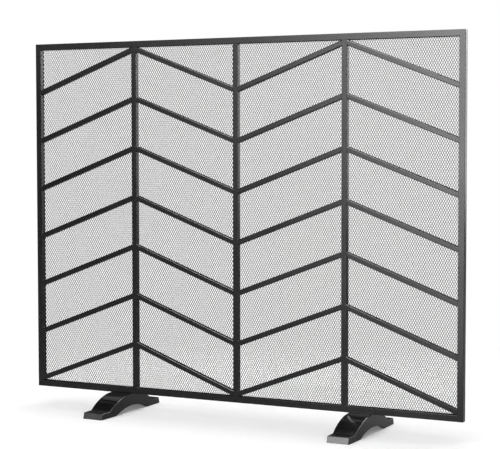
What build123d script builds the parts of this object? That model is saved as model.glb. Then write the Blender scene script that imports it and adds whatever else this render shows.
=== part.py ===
import os
from math import cos, radians, sqrt, tan

from build123d import *

# Fireplace screen: a welded tube panel with chevron bars and a mesh sheet, on two screwed feet.
# X runs along the screen to the viewer's right, Y to the back, Z up, in millimetres.
# The origin lies on the floor, under the middle of the frame's width and depth.

# Overall sizes
screen_width = 889.0
panel_height = 680.0
foot_height = 36.0

# Outer frame, mitred square tube
frame_tube = 11.5
frame_wall = 1.0
frame_edge_radius = 0.5
frame_corner_radius = 1.0

# Mullions, square tube standing between the rails, flush with the frame's front
mullion_count = 3
mullion_tube = 10.2
mullion_wall = 1.0
mullion_edge_radius = 0.5

# Chevron bars, rectangular tube with slanted ends, a hair behind the mullions' front
bar_rows = 7
bar_angle = 20.7
bar_face = 9.6
bar_setback = 0.3
bar_wall = 0.8
bar_edge_radius = 1.4

# Mesh sheet, a diamond net lying against the backs of the mullions and bars
mesh_thickness = 0.8
mesh_strand = 2.0
mesh_columns = 17
mesh_rows = 8
mesh_edge_clearance = 0.2

# Feet, arched castings that run from front to back, cored out below between their solid toes
foot_spacing = 503.0
foot_length = 216.0
foot_crown_width = 45.0
foot_toe_width = 42.0
crown_seat = 8.0
toe_height = 11.8
toe_lean = 3.8
toe_ledge = 25.2
ledge_fillet = 3.0
pad_length = 51.0
soffit_height = 12.4
foot_edge_radius = 1.2
foot_wall = 3.5
toe_block = 30.0
screw_boss_diameter = 13.0

# Screws and rivet nuts that hold each foot to the bottom rail
screws_per_foot = 2
screw_spacing = 24.0
screw_diameter = 4.0
screw_end_gap = 0.5
screw_head_diameter = 8.0
screw_head_height = 2.6
screw_socket = 2.5
screw_socket_depth = 1.5
screw_grip = 10.0
nut_body_diameter = 6.0
nut_end_gap = 2.0
nut_flange_diameter = 8.5
nut_flange_thickness = 0.8
hole_clearance = 0.2

# How close counts as the same place when edges are picked
near = 0.1

# Places that follow from the sizes
front = -frame_tube / 2
mesh_front = front + mullion_tube
panel_middle = foot_height + panel_height / 2
inner_width = screen_width - 2 * frame_tube
inner_height = panel_height - 2 * frame_tube
inner_bottom = foot_height + frame_tube
bay_count = mullion_count + 1
bay_width = (inner_width - mullion_count * mullion_tube) / bay_count
bay_pitch = bay_width + mullion_tube
bar_depth = mullion_tube - bar_setback
bar_rise = bay_width * tan(radians(bar_angle))
bar_upright = bar_face / cos(radians(bar_angle))
bar_pitch = (inner_height - bar_rise - bar_upright) / (bar_rows - 1)
bar_blank = bay_width + bar_rise + 2 * bar_face
top_bar_middle = inner_bottom + inner_height - (bar_rise + bar_upright) / 2
foot_half = foot_length / 2
screw_length = screw_grip + frame_tube - frame_wall - screw_end_gap
nut_body_length = frame_tube - frame_wall - nut_end_gap

os.makedirs("parts", exist_ok=True)


# Name a finished piece and write it out
def finish(piece, label):
    piece.label = label
    export_step(piece, f"parts/{label}.step")


# Hollow section with rounded outer edges
def tube_section(width, depth, wall, edge_radius):
    RectangleRounded(width, depth, edge_radius)
    Rectangle(width - 2 * wall, depth - 2 * wall, mode=Mode.SUBTRACT)


# Where the screws stand under the bottom rail
def screw_places(foot_x):
    first = foot_x - screw_spacing * (screws_per_foot - 1) / 2
    return [first + screw_spacing * place for place in range(screws_per_foot)]


foot_centres = {"left_foot": -foot_spacing / 2, "right_foot": foot_spacing / 2}
all_screw_places = [x for centre in foot_centres.values() for x in screw_places(centre)]

# Four frame members, each sawn to a mitre at both ends
right = Vector(1, 0, 0)
up = Vector(0, 0, 1)
rail_offset = (panel_height - frame_tube) / 2
stile_offset = (screen_width - frame_tube) / 2
frame_members = {
    "top_rail": (right, up, screen_width, rail_offset),
    "bottom_rail": (right, -up, screen_width, rail_offset),
    "left_stile": (up, -right, panel_height, stile_offset),
    "right_stile": (up, right, panel_height, stile_offset),
}
for label, (along, outward, length, offset) in frame_members.items():
    middle = Vector(0, 0, panel_middle) + outward * offset
    with BuildPart() as member:
        with BuildSketch(Plane(middle, x_dir=(0, 1, 0), z_dir=along)):
            tube_section(frame_tube, frame_tube, frame_wall, frame_edge_radius)
        extrude(amount=length / 2, both=True)
        for end in (-1, 1):
            corner = middle + outward * (frame_tube / 2) + along * (end * length / 2)
            split(bisect_by=Plane(corner, z_dir=outward - along * end), keep=Keep.TOP)
        with BuildSketch(Plane((0, 0, panel_middle), x_dir=(1, 0, 0), z_dir=(0, -1, 0))):
            RectangleRounded(screen_width, panel_height, frame_corner_radius)
        extrude(amount=frame_tube / 2, both=True, mode=Mode.INTERSECT)
        if label == "bottom_rail":
            for x in all_screw_places:
                with Locations(Plane((x, 0, foot_height), z_dir=(0, 0, -1))):
                    Hole((nut_body_diameter + hole_clearance) / 2, depth=frame_wall)
    finish(member.part, label)

# Mullions between the rails
mullion_names = {1: "left_mullion", 2: "centre_mullion", 3: "right_mullion"}
for place in range(1, mullion_count + 1):
    x = -inner_width / 2 + place * bay_pitch - mullion_tube / 2
    with BuildPart() as mullion:
        with BuildSketch(Plane((x, front + mullion_tube / 2, inner_bottom))):
            tube_section(mullion_tube, mullion_tube, mullion_wall, mullion_edge_radius)
        extrude(amount=inner_height)
    finish(mullion.part, mullion_names.get(place, f"mullion_{place}"))

# Chevron bars, rising in odd bays and falling in even bays, sawn upright where they meet their neighbours
for bay in range(1, bay_count + 1):
    bay_left = -inner_width / 2 + (bay - 1) * bay_pitch
    slope = bar_angle if bay % 2 else -bar_angle
    run = right.rotate(Axis.Y, -slope)
    for row in range(1, bar_rows + 1):
        height = top_bar_middle - (row - 1) * bar_pitch
        centre = (bay_left + bay_width / 2, mesh_front - bar_depth / 2, height)
        with BuildPart() as bar:
            with BuildSketch(Plane(centre, x_dir=(0, 1, 0), z_dir=run)):
                tube_section(bar_depth, bar_face, bar_wall, bar_edge_radius)
            extrude(amount=bar_blank / 2, both=True)
            split(bisect_by=Plane((bay_left, 0, 0), z_dir=(1, 0, 0)), keep=Keep.TOP)
            split(bisect_by=Plane((bay_left + bay_width, 0, 0), z_dir=(-1, 0, 0)), keep=Keep.TOP)
        finish(bar.part, f"bay_{bay}_bar_{row}")

# Mesh sheet: a grid of diamonds and a second grid half a cell away, trimmed by a closed edge strand
mesh_width = inner_width - 2 * mesh_edge_clearance
mesh_height = inner_height - 2 * mesh_edge_clearance
cell_width = (mesh_width - mesh_strand) / mesh_columns
cell_height = (mesh_height - mesh_strand) / mesh_rows
cell_inradius = cell_width * cell_height / (2 * sqrt(cell_width**2 + cell_height**2))
gap_share = 1 - mesh_strand / 2 / cell_inradius
gap_corners = [
    (gap_share * cell_width / 2, 0),
    (0, gap_share * cell_height / 2),
    (-gap_share * cell_width / 2, 0),
    (0, -gap_share * cell_height / 2),
]
with BuildPart() as mesh_sheet:
    with BuildSketch(Plane((0, mesh_front, panel_middle), x_dir=(1, 0, 0), z_dir=(0, 1, 0))):
        Rectangle(mesh_width, mesh_height)
        with BuildSketch(mode=Mode.PRIVATE) as gaps:
            with GridLocations(cell_width, cell_height, mesh_columns, mesh_rows):
                Polygon(*gap_corners)
            with GridLocations(cell_width, cell_height, mesh_columns + 1, mesh_rows + 1):
                Polygon(*gap_corners)
            Rectangle(mesh_width - 2 * mesh_strand, mesh_height - 2 * mesh_strand, mode=Mode.INTERSECT)
        add(gaps.sketch, mode=Mode.SUBTRACT)
    extrude(amount=mesh_thickness)
finish(mesh_sheet.part, "mesh_sheet")


# Edges that run across a foot at one distance from its middle, at the front and at the back
def cross_edges(foot_part, distance):
    across = foot_part.edges().filter_by(Axis.X)
    return across.filter_by(lambda edge: abs(abs(edge.center().Y) - distance) < near)


# Long edges of a foot's two flanks, above the floor and apart from the rims of the arch
def flank_edges(foot_part):
    soffit_top = Vector(0, 0, soffit_height)
    rising = foot_part.edges().filter_by(Axis.X, reverse=True)
    rising = rising.filter_by(lambda edge: edge.center().Z > near)
    return rising.filter_by(lambda edge: (edge.center() - soffit_top).cross(right).length > near)


# Feet: one arched side profile, drawn in by a bowed plan, with a cored underside and two screw bosses
toe_top = foot_half - toe_lean
ledge_end = toe_top - toe_ledge
pad_end = foot_half - pad_length
arch_run = ledge_end - crown_seat / 2
arch_drop = foot_height - toe_height
arch_radius = (arch_run**2 + arch_drop**2) / (2 * arch_drop)
core_top = foot_height - foot_wall
core_end = foot_half - toe_block
core_run = core_end - crown_seat / 2
core_radius = arch_radius - foot_wall
core_end_height = core_top - core_radius + sqrt(core_radius**2 - core_run**2)
core_width = foot_toe_width - 2 * foot_wall
for label, x in foot_centres.items():
    with BuildPart() as foot:
        side_view = Plane((x, 0, 0), x_dir=(0, 1, 0), z_dir=(1, 0, 0))
        with BuildSketch(side_view):
            with BuildLine():
                Line((0, foot_height), (crown_seat / 2, foot_height))
                TangentArc((crown_seat / 2, foot_height), (ledge_end, toe_height), tangent=(1, 0))
                Polyline((ledge_end, toe_height), (toe_top, toe_height), (foot_half, 0), (pad_end, 0))
                mirror(about=Plane.YZ)
                ThreePointArc((pad_end, 0), (0, soffit_height), (-pad_end, 0))
            make_face()
        extrude(amount=foot_crown_width / 2, both=True)
        with BuildSketch(Plane((x, 0, 0))):
            with BuildLine():
                flank = ThreePointArc(
                    (foot_toe_width / 2, -foot_half),
                    (foot_crown_width / 2, 0),
                    (foot_toe_width / 2, foot_half),
                )
                Line(flank @ 0, (0, -foot_half))
                Line(flank @ 1, (0, foot_half))
                mirror(about=Plane.YZ)
            make_face()
        extrude(amount=foot_height, mode=Mode.INTERSECT)
        fillet(cross_edges(foot, ledge_end), ledge_fillet)
        fillet(flank_edges(foot) + cross_edges(foot, toe_top), foot_edge_radius)
        with BuildSketch(side_view):
            with BuildLine():
                Line((0, core_top), (crown_seat / 2, core_top))
                TangentArc((crown_seat / 2, core_top), (core_end, core_end_height), tangent=(1, 0))
                Polyline((core_end, core_end_height), (core_end, 0), (0, 0))
                mirror(about=Plane.YZ)
            make_face()
        extrude(amount=core_width / 2, both=True, mode=Mode.SUBTRACT)
        for place in screw_places(x):
            with BuildSketch(Plane((place, 0, foot_height - screw_grip))):
                Circle(screw_boss_diameter / 2)
            extrude(amount=screw_grip - foot_wall / 2)
            with Locations((place, 0, foot_height)):
                CounterBoreHole(
                    (screw_diameter + hole_clearance) / 2,
                    (nut_flange_diameter + hole_clearance) / 2,
                    nut_flange_thickness,
                )
    finish(foot.part, label)

# Pan-head screws, seated under the feet's bosses and reaching into the rail
with BuildPart() as foot_screws:
    for place in all_screw_places:
        seat = Plane((place, 0, foot_height - screw_grip))
        with BuildSketch(seat):
            Circle(screw_diameter / 2)
        extrude(amount=screw_length)
        with BuildSketch(seat):
            Circle(screw_head_diameter / 2)
        extrude(amount=-screw_head_height)
        with BuildSketch(seat.offset(-screw_head_height)):
            RegularPolygon(screw_socket / 2, 6, major_radius=False)
        extrude(amount=screw_socket_depth, mode=Mode.SUBTRACT)
finish(foot_screws.part, "foot_screws")

# Rivet nuts, with a flange under the rail's wall and a bore that takes the screw
with BuildPart() as rivet_nuts:
    for place in all_screw_places:
        seat = Plane((place, 0, foot_height))
        with BuildSketch(seat):
            Circle(nut_body_diameter / 2)
        extrude(amount=nut_body_length)
        with BuildSketch(seat):
            Circle(nut_flange_diameter / 2)
        extrude(amount=-nut_flange_thickness)
        with Locations(seat.offset(nut_body_length)):
            Hole((screw_diameter + hole_clearance) / 2)
finish(rivet_nuts.part, "rivet_nuts")
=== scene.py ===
import math

import bmesh
import bpy
from mathutils import Matrix, Vector


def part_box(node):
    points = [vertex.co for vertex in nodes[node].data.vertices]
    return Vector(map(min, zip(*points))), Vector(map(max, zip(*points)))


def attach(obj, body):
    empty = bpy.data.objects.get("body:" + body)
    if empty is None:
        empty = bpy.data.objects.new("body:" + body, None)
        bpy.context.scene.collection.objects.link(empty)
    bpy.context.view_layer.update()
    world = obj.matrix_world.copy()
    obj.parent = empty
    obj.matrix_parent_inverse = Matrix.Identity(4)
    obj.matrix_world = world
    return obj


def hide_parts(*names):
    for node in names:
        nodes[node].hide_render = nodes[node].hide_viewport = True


# Fireplace screen, seen from the right and a little above its middle. Metres, +Z up, front towards -Y.

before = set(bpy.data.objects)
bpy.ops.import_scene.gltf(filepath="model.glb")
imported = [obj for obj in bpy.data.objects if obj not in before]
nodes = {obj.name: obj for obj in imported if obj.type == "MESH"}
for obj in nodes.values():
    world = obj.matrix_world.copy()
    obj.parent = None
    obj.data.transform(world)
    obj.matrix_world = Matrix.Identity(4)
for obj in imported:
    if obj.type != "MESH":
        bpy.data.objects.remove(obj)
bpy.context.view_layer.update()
scene = bpy.context.scene
scene.view_settings.view_transform = "Standard"
print("frame loaded:", len(nodes), "pieces")


# Camera

viewpoint = {
    "place": (1.26077, -2.44563, 0.52328),
    "aim": (0.0306, -0.00575, 0.3706),
    "roll": math.radians(-0.059),
    "lens": 106.55,
    "sensor": 36.0,
}


def lookFrom(place, aim):
    turn = (Vector(aim) - Vector(place)).to_track_quat("-Z", "Y").to_matrix().to_4x4()
    return Matrix.Translation(place) @ turn


def setCamera(settings):
    cameraData = bpy.data.cameras.new("camera")
    cameraData.lens = settings["lens"]
    cameraData.sensor_width = settings["sensor"]
    cameraData.sensor_fit = "HORIZONTAL"
    camera = bpy.data.objects.new("camera", cameraData)
    roll = Matrix.Rotation(settings["roll"], 4, "Z")
    camera.matrix_world = lookFrom(settings["place"], settings["aim"]) @ roll
    scene.collection.objects.link(camera)
    scene.camera = camera


setCamera(viewpoint)
print("camera set")


# Light: an overhead lamp, strips that light but aren't mirrored, and cards that are only mirrored

midFloor = (0.0, 0.0, 0.0)
midPanel = (0.0, 0.0, 0.35)
upperPanel = (0.0, 0.0, 0.40)
rightStile = (0.44, 0.0, 0.14)
lamps = {
    "overhead": {"place": (0.0, 0.0, 2.4), "aim": midFloor, "size": (2.6, 0.7), "power": 28.0},
}
strips = {
    "stripFront": {"place": (0.0, -1.0, 2.4), "aim": midFloor, "size": (2.6, 0.05), "power": 12.0},
    "stripBack": {"place": (0.0, 1.0, 2.4), "aim": midFloor, "size": (2.6, 0.05), "power": 12.0},
}
cards = {
    "frontSoftBox": {"place": (-0.60, -3.42, 0.85), "aim": midPanel, "size": (0.61, 1.70), "power": 41.0},
    "frontFill": {"place": (-1.40, -3.19, 0.85), "aim": midPanel, "size": (0.90, 0.86), "power": 2.6},
    "frontLeftCard": {"place": (-1.14, -3.15, 1.37), "aim": midPanel, "size": (0.61, 0.61), "power": 9.5},
    "sideCard": {"place": (-2.15, -2.56, 1.37), "aim": midPanel, "size": (0.61, 0.61), "power": 2.9},
    "lowCard": {"place": (0.18, -0.86, 0.09), "aim": rightStile, "size": (0.20, 0.18), "power": 0.24},
    "topCard": {"place": (-0.16, -1.35, 2.20), "aim": upperPanel, "size": (0.72, 1.40), "power": 100.0},
    "skyCard": {"place": (-1.72, 2.05, 2.20), "aim": midFloor, "size": (1.40, 0.95), "power": 2.6},
    "backCard": {"place": (1.41, 3.16, 0.70), "aim": midPanel, "size": (1.49, 0.90), "power": 10.0},
    "rimCard": {"place": (2.08, 2.30, 2.03), "aim": midPanel, "size": (2.70, 2.00), "power": 340.0},
}
surround = {
    "lightLevel": 0.45,
    "mirrorFront": 0.08,
    "mirrorBack": 0.05,
    "mirrorLow": 0.08,
    "frontToBack": (-0.2, 0.6),  # where front turns into back, along Y
    "lowToHigh": (-0.02, 0.30),  # where low turns into high, along Z
    "backdrop": 1.0,
}


def addLamp(name, settings, lit, mirrored):
    lampData = bpy.data.lights.new(name, "AREA")
    lampData.shape = "RECTANGLE"
    lampData.size, lampData.size_y = settings["size"]
    lampData.energy = settings["power"]
    lamp = bpy.data.objects.new(name, lampData)
    lamp.matrix_world = lookFrom(settings["place"], settings["aim"])
    lamp.visible_camera = False
    lamp.visible_diffuse = lit
    lamp.visible_glossy = mirrored
    scene.collection.objects.link(lamp)


def addSpan(tree, span):
    change = tree.nodes.new("ShaderNodeMapRange")
    change.inputs["From Min"].default_value = span[0]
    change.inputs["From Max"].default_value = span[1]
    return change


def setSurround(settings):
    world = bpy.data.worlds.new("surround")
    world.use_nodes = True
    scene.world = world
    tree = world.node_tree
    tree.nodes.clear()
    make = tree.nodes.new
    link = tree.links.new
    output = make("ShaderNodeOutputWorld")
    background = make("ShaderNodeBackground")
    background.inputs["Color"].default_value = (1.0, 1.0, 1.0, 1.0)
    path = make("ShaderNodeLightPath")
    direction = make("ShaderNodeTexCoord")
    parts = make("ShaderNodeSeparateXYZ")
    behind = addSpan(tree, settings["frontToBack"])
    behind.inputs["To Min"].default_value = settings["mirrorFront"]
    behind.inputs["To Max"].default_value = settings["mirrorBack"]
    rise = addSpan(tree, settings["lowToHigh"])
    rise.inputs["To Min"].default_value = settings["mirrorLow"]
    mirrored = make("ShaderNodeMix")
    mirrored.inputs["A"].default_value = settings["lightLevel"]
    seen = make("ShaderNodeMix")
    seen.inputs["B"].default_value = settings["backdrop"]
    through = make("ShaderNodeMath")
    through.operation = "MAXIMUM"
    link(direction.outputs["Generated"], parts.inputs["Vector"])
    link(parts.outputs["Y"], behind.inputs["Value"])
    link(parts.outputs["Z"], rise.inputs["Value"])
    link(behind.outputs["Result"], rise.inputs["To Max"])
    link(path.outputs["Is Glossy Ray"], mirrored.inputs["Factor"])
    link(rise.outputs["Result"], mirrored.inputs["B"])
    link(path.outputs["Is Camera Ray"], through.inputs[0])
    link(path.outputs["Is Transmission Ray"], through.inputs[1])
    link(through.outputs["Value"], seen.inputs["Factor"])
    link(mirrored.outputs["Result"], seen.inputs["A"])
    link(seen.outputs["Result"], background.inputs["Strength"])
    link(background.outputs["Background"], output.inputs["Surface"])


for name, settings in lamps.items():
    addLamp(name, settings, lit=True, mirrored=True)
for name, settings in strips.items():
    addLamp(name, settings, lit=True, mirrored=False)
for name, settings in cards.items():
    addLamp(name, settings, lit=False, mirrored=True)
setSurround(surround)
print("light set:", len(lamps) + len(strips), "lamps and", len(cards), "cards")


# Pale floor that keeps the shadow and turns into the white backdrop further out

floorSettings = {
    "half": 6.0,
    "drop": 0.0001,
    "seen": 0.88,
    "mirrored": 0.42,
    "lift": 0.165,
    "nearToFar": (0.58, 1.25),
}


def addFloor(settings):
    bm = bmesh.new()
    bmesh.ops.create_grid(bm, x_segments=1, y_segments=1, size=settings["half"])
    bmesh.ops.translate(bm, verts=bm.verts, vec=(0, 0, -settings["drop"]))
    mesh = bpy.data.meshes.new("floor")
    bm.to_mesh(mesh)
    bm.free()
    floor = bpy.data.objects.new("floor", mesh)
    scene.collection.objects.link(floor)

    material = bpy.data.materials.new("paleFloor")
    material.use_nodes = True
    tree = material.node_tree
    tree.nodes.clear()
    make = tree.nodes.new
    link = tree.links.new
    output = make("ShaderNodeOutputMaterial")
    diffuse = make("ShaderNodeBsdfDiffuse")
    lift = make("ShaderNodeEmission")
    backdrop = make("ShaderNodeEmission")
    shadowed = make("ShaderNodeAddShader")
    distant = make("ShaderNodeMixShader")
    path = make("ShaderNodeLightPath")
    tone = make("ShaderNodeMix")
    tone.data_type = "RGBA"
    tone.inputs["A"].default_value = (settings["seen"],) * 3 + (1,)
    tone.inputs["B"].default_value = (settings["mirrored"],) * 3 + (1,)
    liftSeen = make("ShaderNodeMath")
    liftSeen.operation = "MULTIPLY"
    liftSeen.inputs[1].default_value = settings["lift"]
    place = make("ShaderNodeTexCoord")
    length = make("ShaderNodeVectorMath")
    length.operation = "LENGTH"
    fade = addSpan(tree, settings["nearToFar"])
    fade.interpolation_type = "SMOOTHSTEP"
    farSeen = make("ShaderNodeMath")
    farSeen.operation = "MULTIPLY"
    link(path.outputs["Is Glossy Ray"], tone.inputs["Factor"])
    link(tone.outputs["Result"], diffuse.inputs["Color"])
    link(path.outputs["Is Camera Ray"], liftSeen.inputs[0])
    link(liftSeen.outputs["Value"], lift.inputs["Strength"])
    link(diffuse.outputs["BSDF"], shadowed.inputs[0])
    link(lift.outputs["Emission"], shadowed.inputs[1])
    link(place.outputs["Object"], length.inputs[0])
    link(length.outputs["Value"], fade.inputs["Value"])
    link(fade.outputs["Result"], farSeen.inputs[0])
    link(path.outputs["Is Camera Ray"], farSeen.inputs[1])
    link(farSeen.outputs["Value"], distant.inputs["Fac"])
    link(shadowed.outputs["Shader"], distant.inputs[1])
    link(backdrop.outputs["Emission"], distant.inputs[2])
    link(distant.outputs["Shader"], output.inputs["Surface"])
    mesh.materials.append(material)


addFloor(floorSettings)
print("floor laid")


# Finishes

noiseSpan = (0.3, 0.7)  # most of the noise lies between these


def addNoise(tree, place, scale, detail):
    noise = tree.nodes.new("ShaderNodeTexNoise")
    noise.inputs["Scale"].default_value = scale
    noise.inputs["Detail"].default_value = detail
    tree.links.new(place.outputs["Object"], noise.inputs["Vector"])
    return noise.outputs["Fac"]


def spreadNoise(tree, value, low, high):
    span = addSpan(tree, noiseSpan)
    span.inputs["To Min"].default_value = low
    span.inputs["To Max"].default_value = high
    tree.links.new(value, span.inputs["Value"])
    return span.outputs["Result"]


def blendColours(tree, value, low, high):
    mix = tree.nodes.new("ShaderNodeMix")
    mix.data_type = "RGBA"
    mix.inputs["A"].default_value = low
    mix.inputs["B"].default_value = high
    tree.links.new(value, mix.inputs["Factor"])
    return mix.outputs["Result"]


def addBump(tree, shader, height, depth, strength):
    bump = tree.nodes.new("ShaderNodeBump")
    bump.inputs["Distance"].default_value = depth
    bump.inputs["Strength"].default_value = strength
    tree.links.new(height, bump.inputs["Height"])
    tree.links.new(bump.outputs["Normal"], shader.inputs["Normal"])


def makeFinish(name, settings):
    material = bpy.data.materials.new(name)
    material.use_nodes = True
    tree = material.node_tree
    shader = tree.nodes["Principled BSDF"]
    shader.inputs["Metallic"].default_value = settings["metallic"]
    shader.inputs["Specular IOR Level"].default_value = settings["specular"]
    place = tree.nodes.new("ShaderNodeTexCoord")
    cloud = addNoise(tree, place, settings["cloudScale"], settings["cloudDetail"])
    grain = addNoise(tree, place, settings["grainScale"], settings["grainDetail"])
    tint = spreadNoise(tree, cloud, 0.0, 1.0)
    colour = blendColours(tree, tint, settings["dark"], settings["light"])
    tree.links.new(colour, shader.inputs["Base Color"])
    tree.links.new(spreadNoise(tree, cloud, *settings["roughness"]), shader.inputs["Roughness"])
    addBump(tree, shader, grain, settings["grainDepth"], settings["grainStrength"])
    return material


satinBlack = {
    "dark": (0.0070, 0.0070, 0.0073, 1.0),
    "light": (0.0100, 0.0100, 0.0104, 1.0),
    "metallic": 0.0,
    "specular": 0.40,
    "roughness": (0.24, 0.29),
    "cloudScale": 9.0,
    "cloudDetail": 3.0,
    "grainScale": 900.0,
    "grainDetail": 2.0,
    "grainDepth": 0.00003,
    "grainStrength": 0.25,
}
meshBlack = dict(satinBlack, specular=0.20, roughness=(0.40, 0.50))
footBlack = dict(
    satinBlack,
    dark=(0.0045, 0.0045, 0.0047, 1.0),
    light=(0.0065, 0.0065, 0.0068, 1.0),
    specular=0.45,
    roughness=(0.10, 0.15),
    cloudScale=30.0,
    grainScale=260.0,
    grainDepth=0.00002,
    grainStrength=0.15,
)
zincPlate = dict(
    satinBlack,
    dark=(0.46, 0.46, 0.44, 1.0),
    light=(0.60, 0.60, 0.57, 1.0),
    metallic=1.0,
    specular=0.5,
    roughness=(0.28, 0.42),
    cloudScale=160.0,
    grainScale=1500.0,
    grainDepth=0.00002,
    grainStrength=0.2,
)

frameFinish = makeFinish("satinBlackPowderCoat", satinBlack)
meshFinish = makeFinish("meshBlackPowderCoat", meshBlack)
footFinish = makeFinish("glossBlackFoot", footBlack)
zincFinish = makeFinish("zincPlatedSteel", zincPlate)

for name, node in nodes.items():
    finish = frameFinish
    if name.endswith("_foot"):
        finish = footFinish
    elif name in ("foot_screws", "rivet_nuts"):
        finish = zincFinish
    node.data.materials.clear()
    node.data.materials.append(finish)
print("finishes given to", len(nodes), "pieces")


# Mesh: one fine diamond net for each bay, in the place of the coarse sheet

meshSettings = {"cellWidth": 0.00452, "cellHeight": 0.0080, "strand": 0.00090}
sheetLow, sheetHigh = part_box("mesh_sheet")


def makeNet(name, left, right, settings):
    width, height = settings["cellWidth"], settings["cellHeight"]
    bottom, top = sheetLow.z, sheetHigh.z
    reach = max((right - left) / width, (top - bottom) / height)
    count = 2 * math.ceil(reach) + 2  # enough cells to cover the bay once the grid is turned
    bm = bmesh.new()
    bmesh.ops.create_grid(bm, x_segments=count, y_segments=count, size=count / 2)
    turn = Matrix.Rotation(math.radians(45), 4, "Z")
    diagonal = math.sqrt(2)
    stretch = Matrix.Diagonal((width / diagonal, height / diagonal, 1.0, 1.0))
    stand = Matrix.Rotation(math.radians(90), 4, "X")
    centre = round((left + right) / 2 / width) * width
    lay = Matrix.Translation((centre, (sheetLow.y + sheetHigh.y) / 2, (bottom + top) / 2))
    bmesh.ops.transform(bm, matrix=lay @ stand @ stretch @ turn, verts=bm.verts)
    for corner, outward in ((sheetLow, -1), (sheetHigh, 1)):  # trimmed along the sheet's own edges
        for normal in ((outward, 0, 0), (0, 0, outward)):
            geometry = bm.verts[:] + bm.edges[:] + bm.faces[:]
            bmesh.ops.bisect_plane(bm, geom=geometry, plane_co=corner, plane_no=normal, clear_outer=True)
    beyond = [face for face in bm.faces if not left < face.calc_center_median().x <= right]
    bmesh.ops.delete(bm, geom=beyond, context="FACES")  # whole cells, shared out behind the mullions
    bmesh.ops.wireframe(
        bm,
        faces=bm.faces,
        thickness=settings["strand"],
        use_replace=True,
        use_boundary=True,
        use_even_offset=True,
    )
    for face in bm.faces:
        face.smooth = True
    mesh = bpy.data.meshes.new(name)
    bm.to_mesh(mesh)
    bm.free()
    net = bpy.data.objects.new(name, mesh)
    scene.collection.objects.link(net)
    mesh.materials.append(meshFinish)
    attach(net, "root")
    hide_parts("mesh_sheet")
    return len(mesh.polygons)


mullions = ["left_mullion", "centre_mullion", "right_mullion"]
middles = [(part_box(name)[0].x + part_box(name)[1].x) / 2 for name in mullions]
sides = [sheetLow.x, *middles, sheetHigh.x]
for bay, (left, right) in enumerate(zip(sides, sides[1:]), start=1):
    faceCount = makeNet(f"mesh_bay_{bay}", left, right, meshSettings)
    print("mesh made for bay", bay, "with", faceCount, "faces")
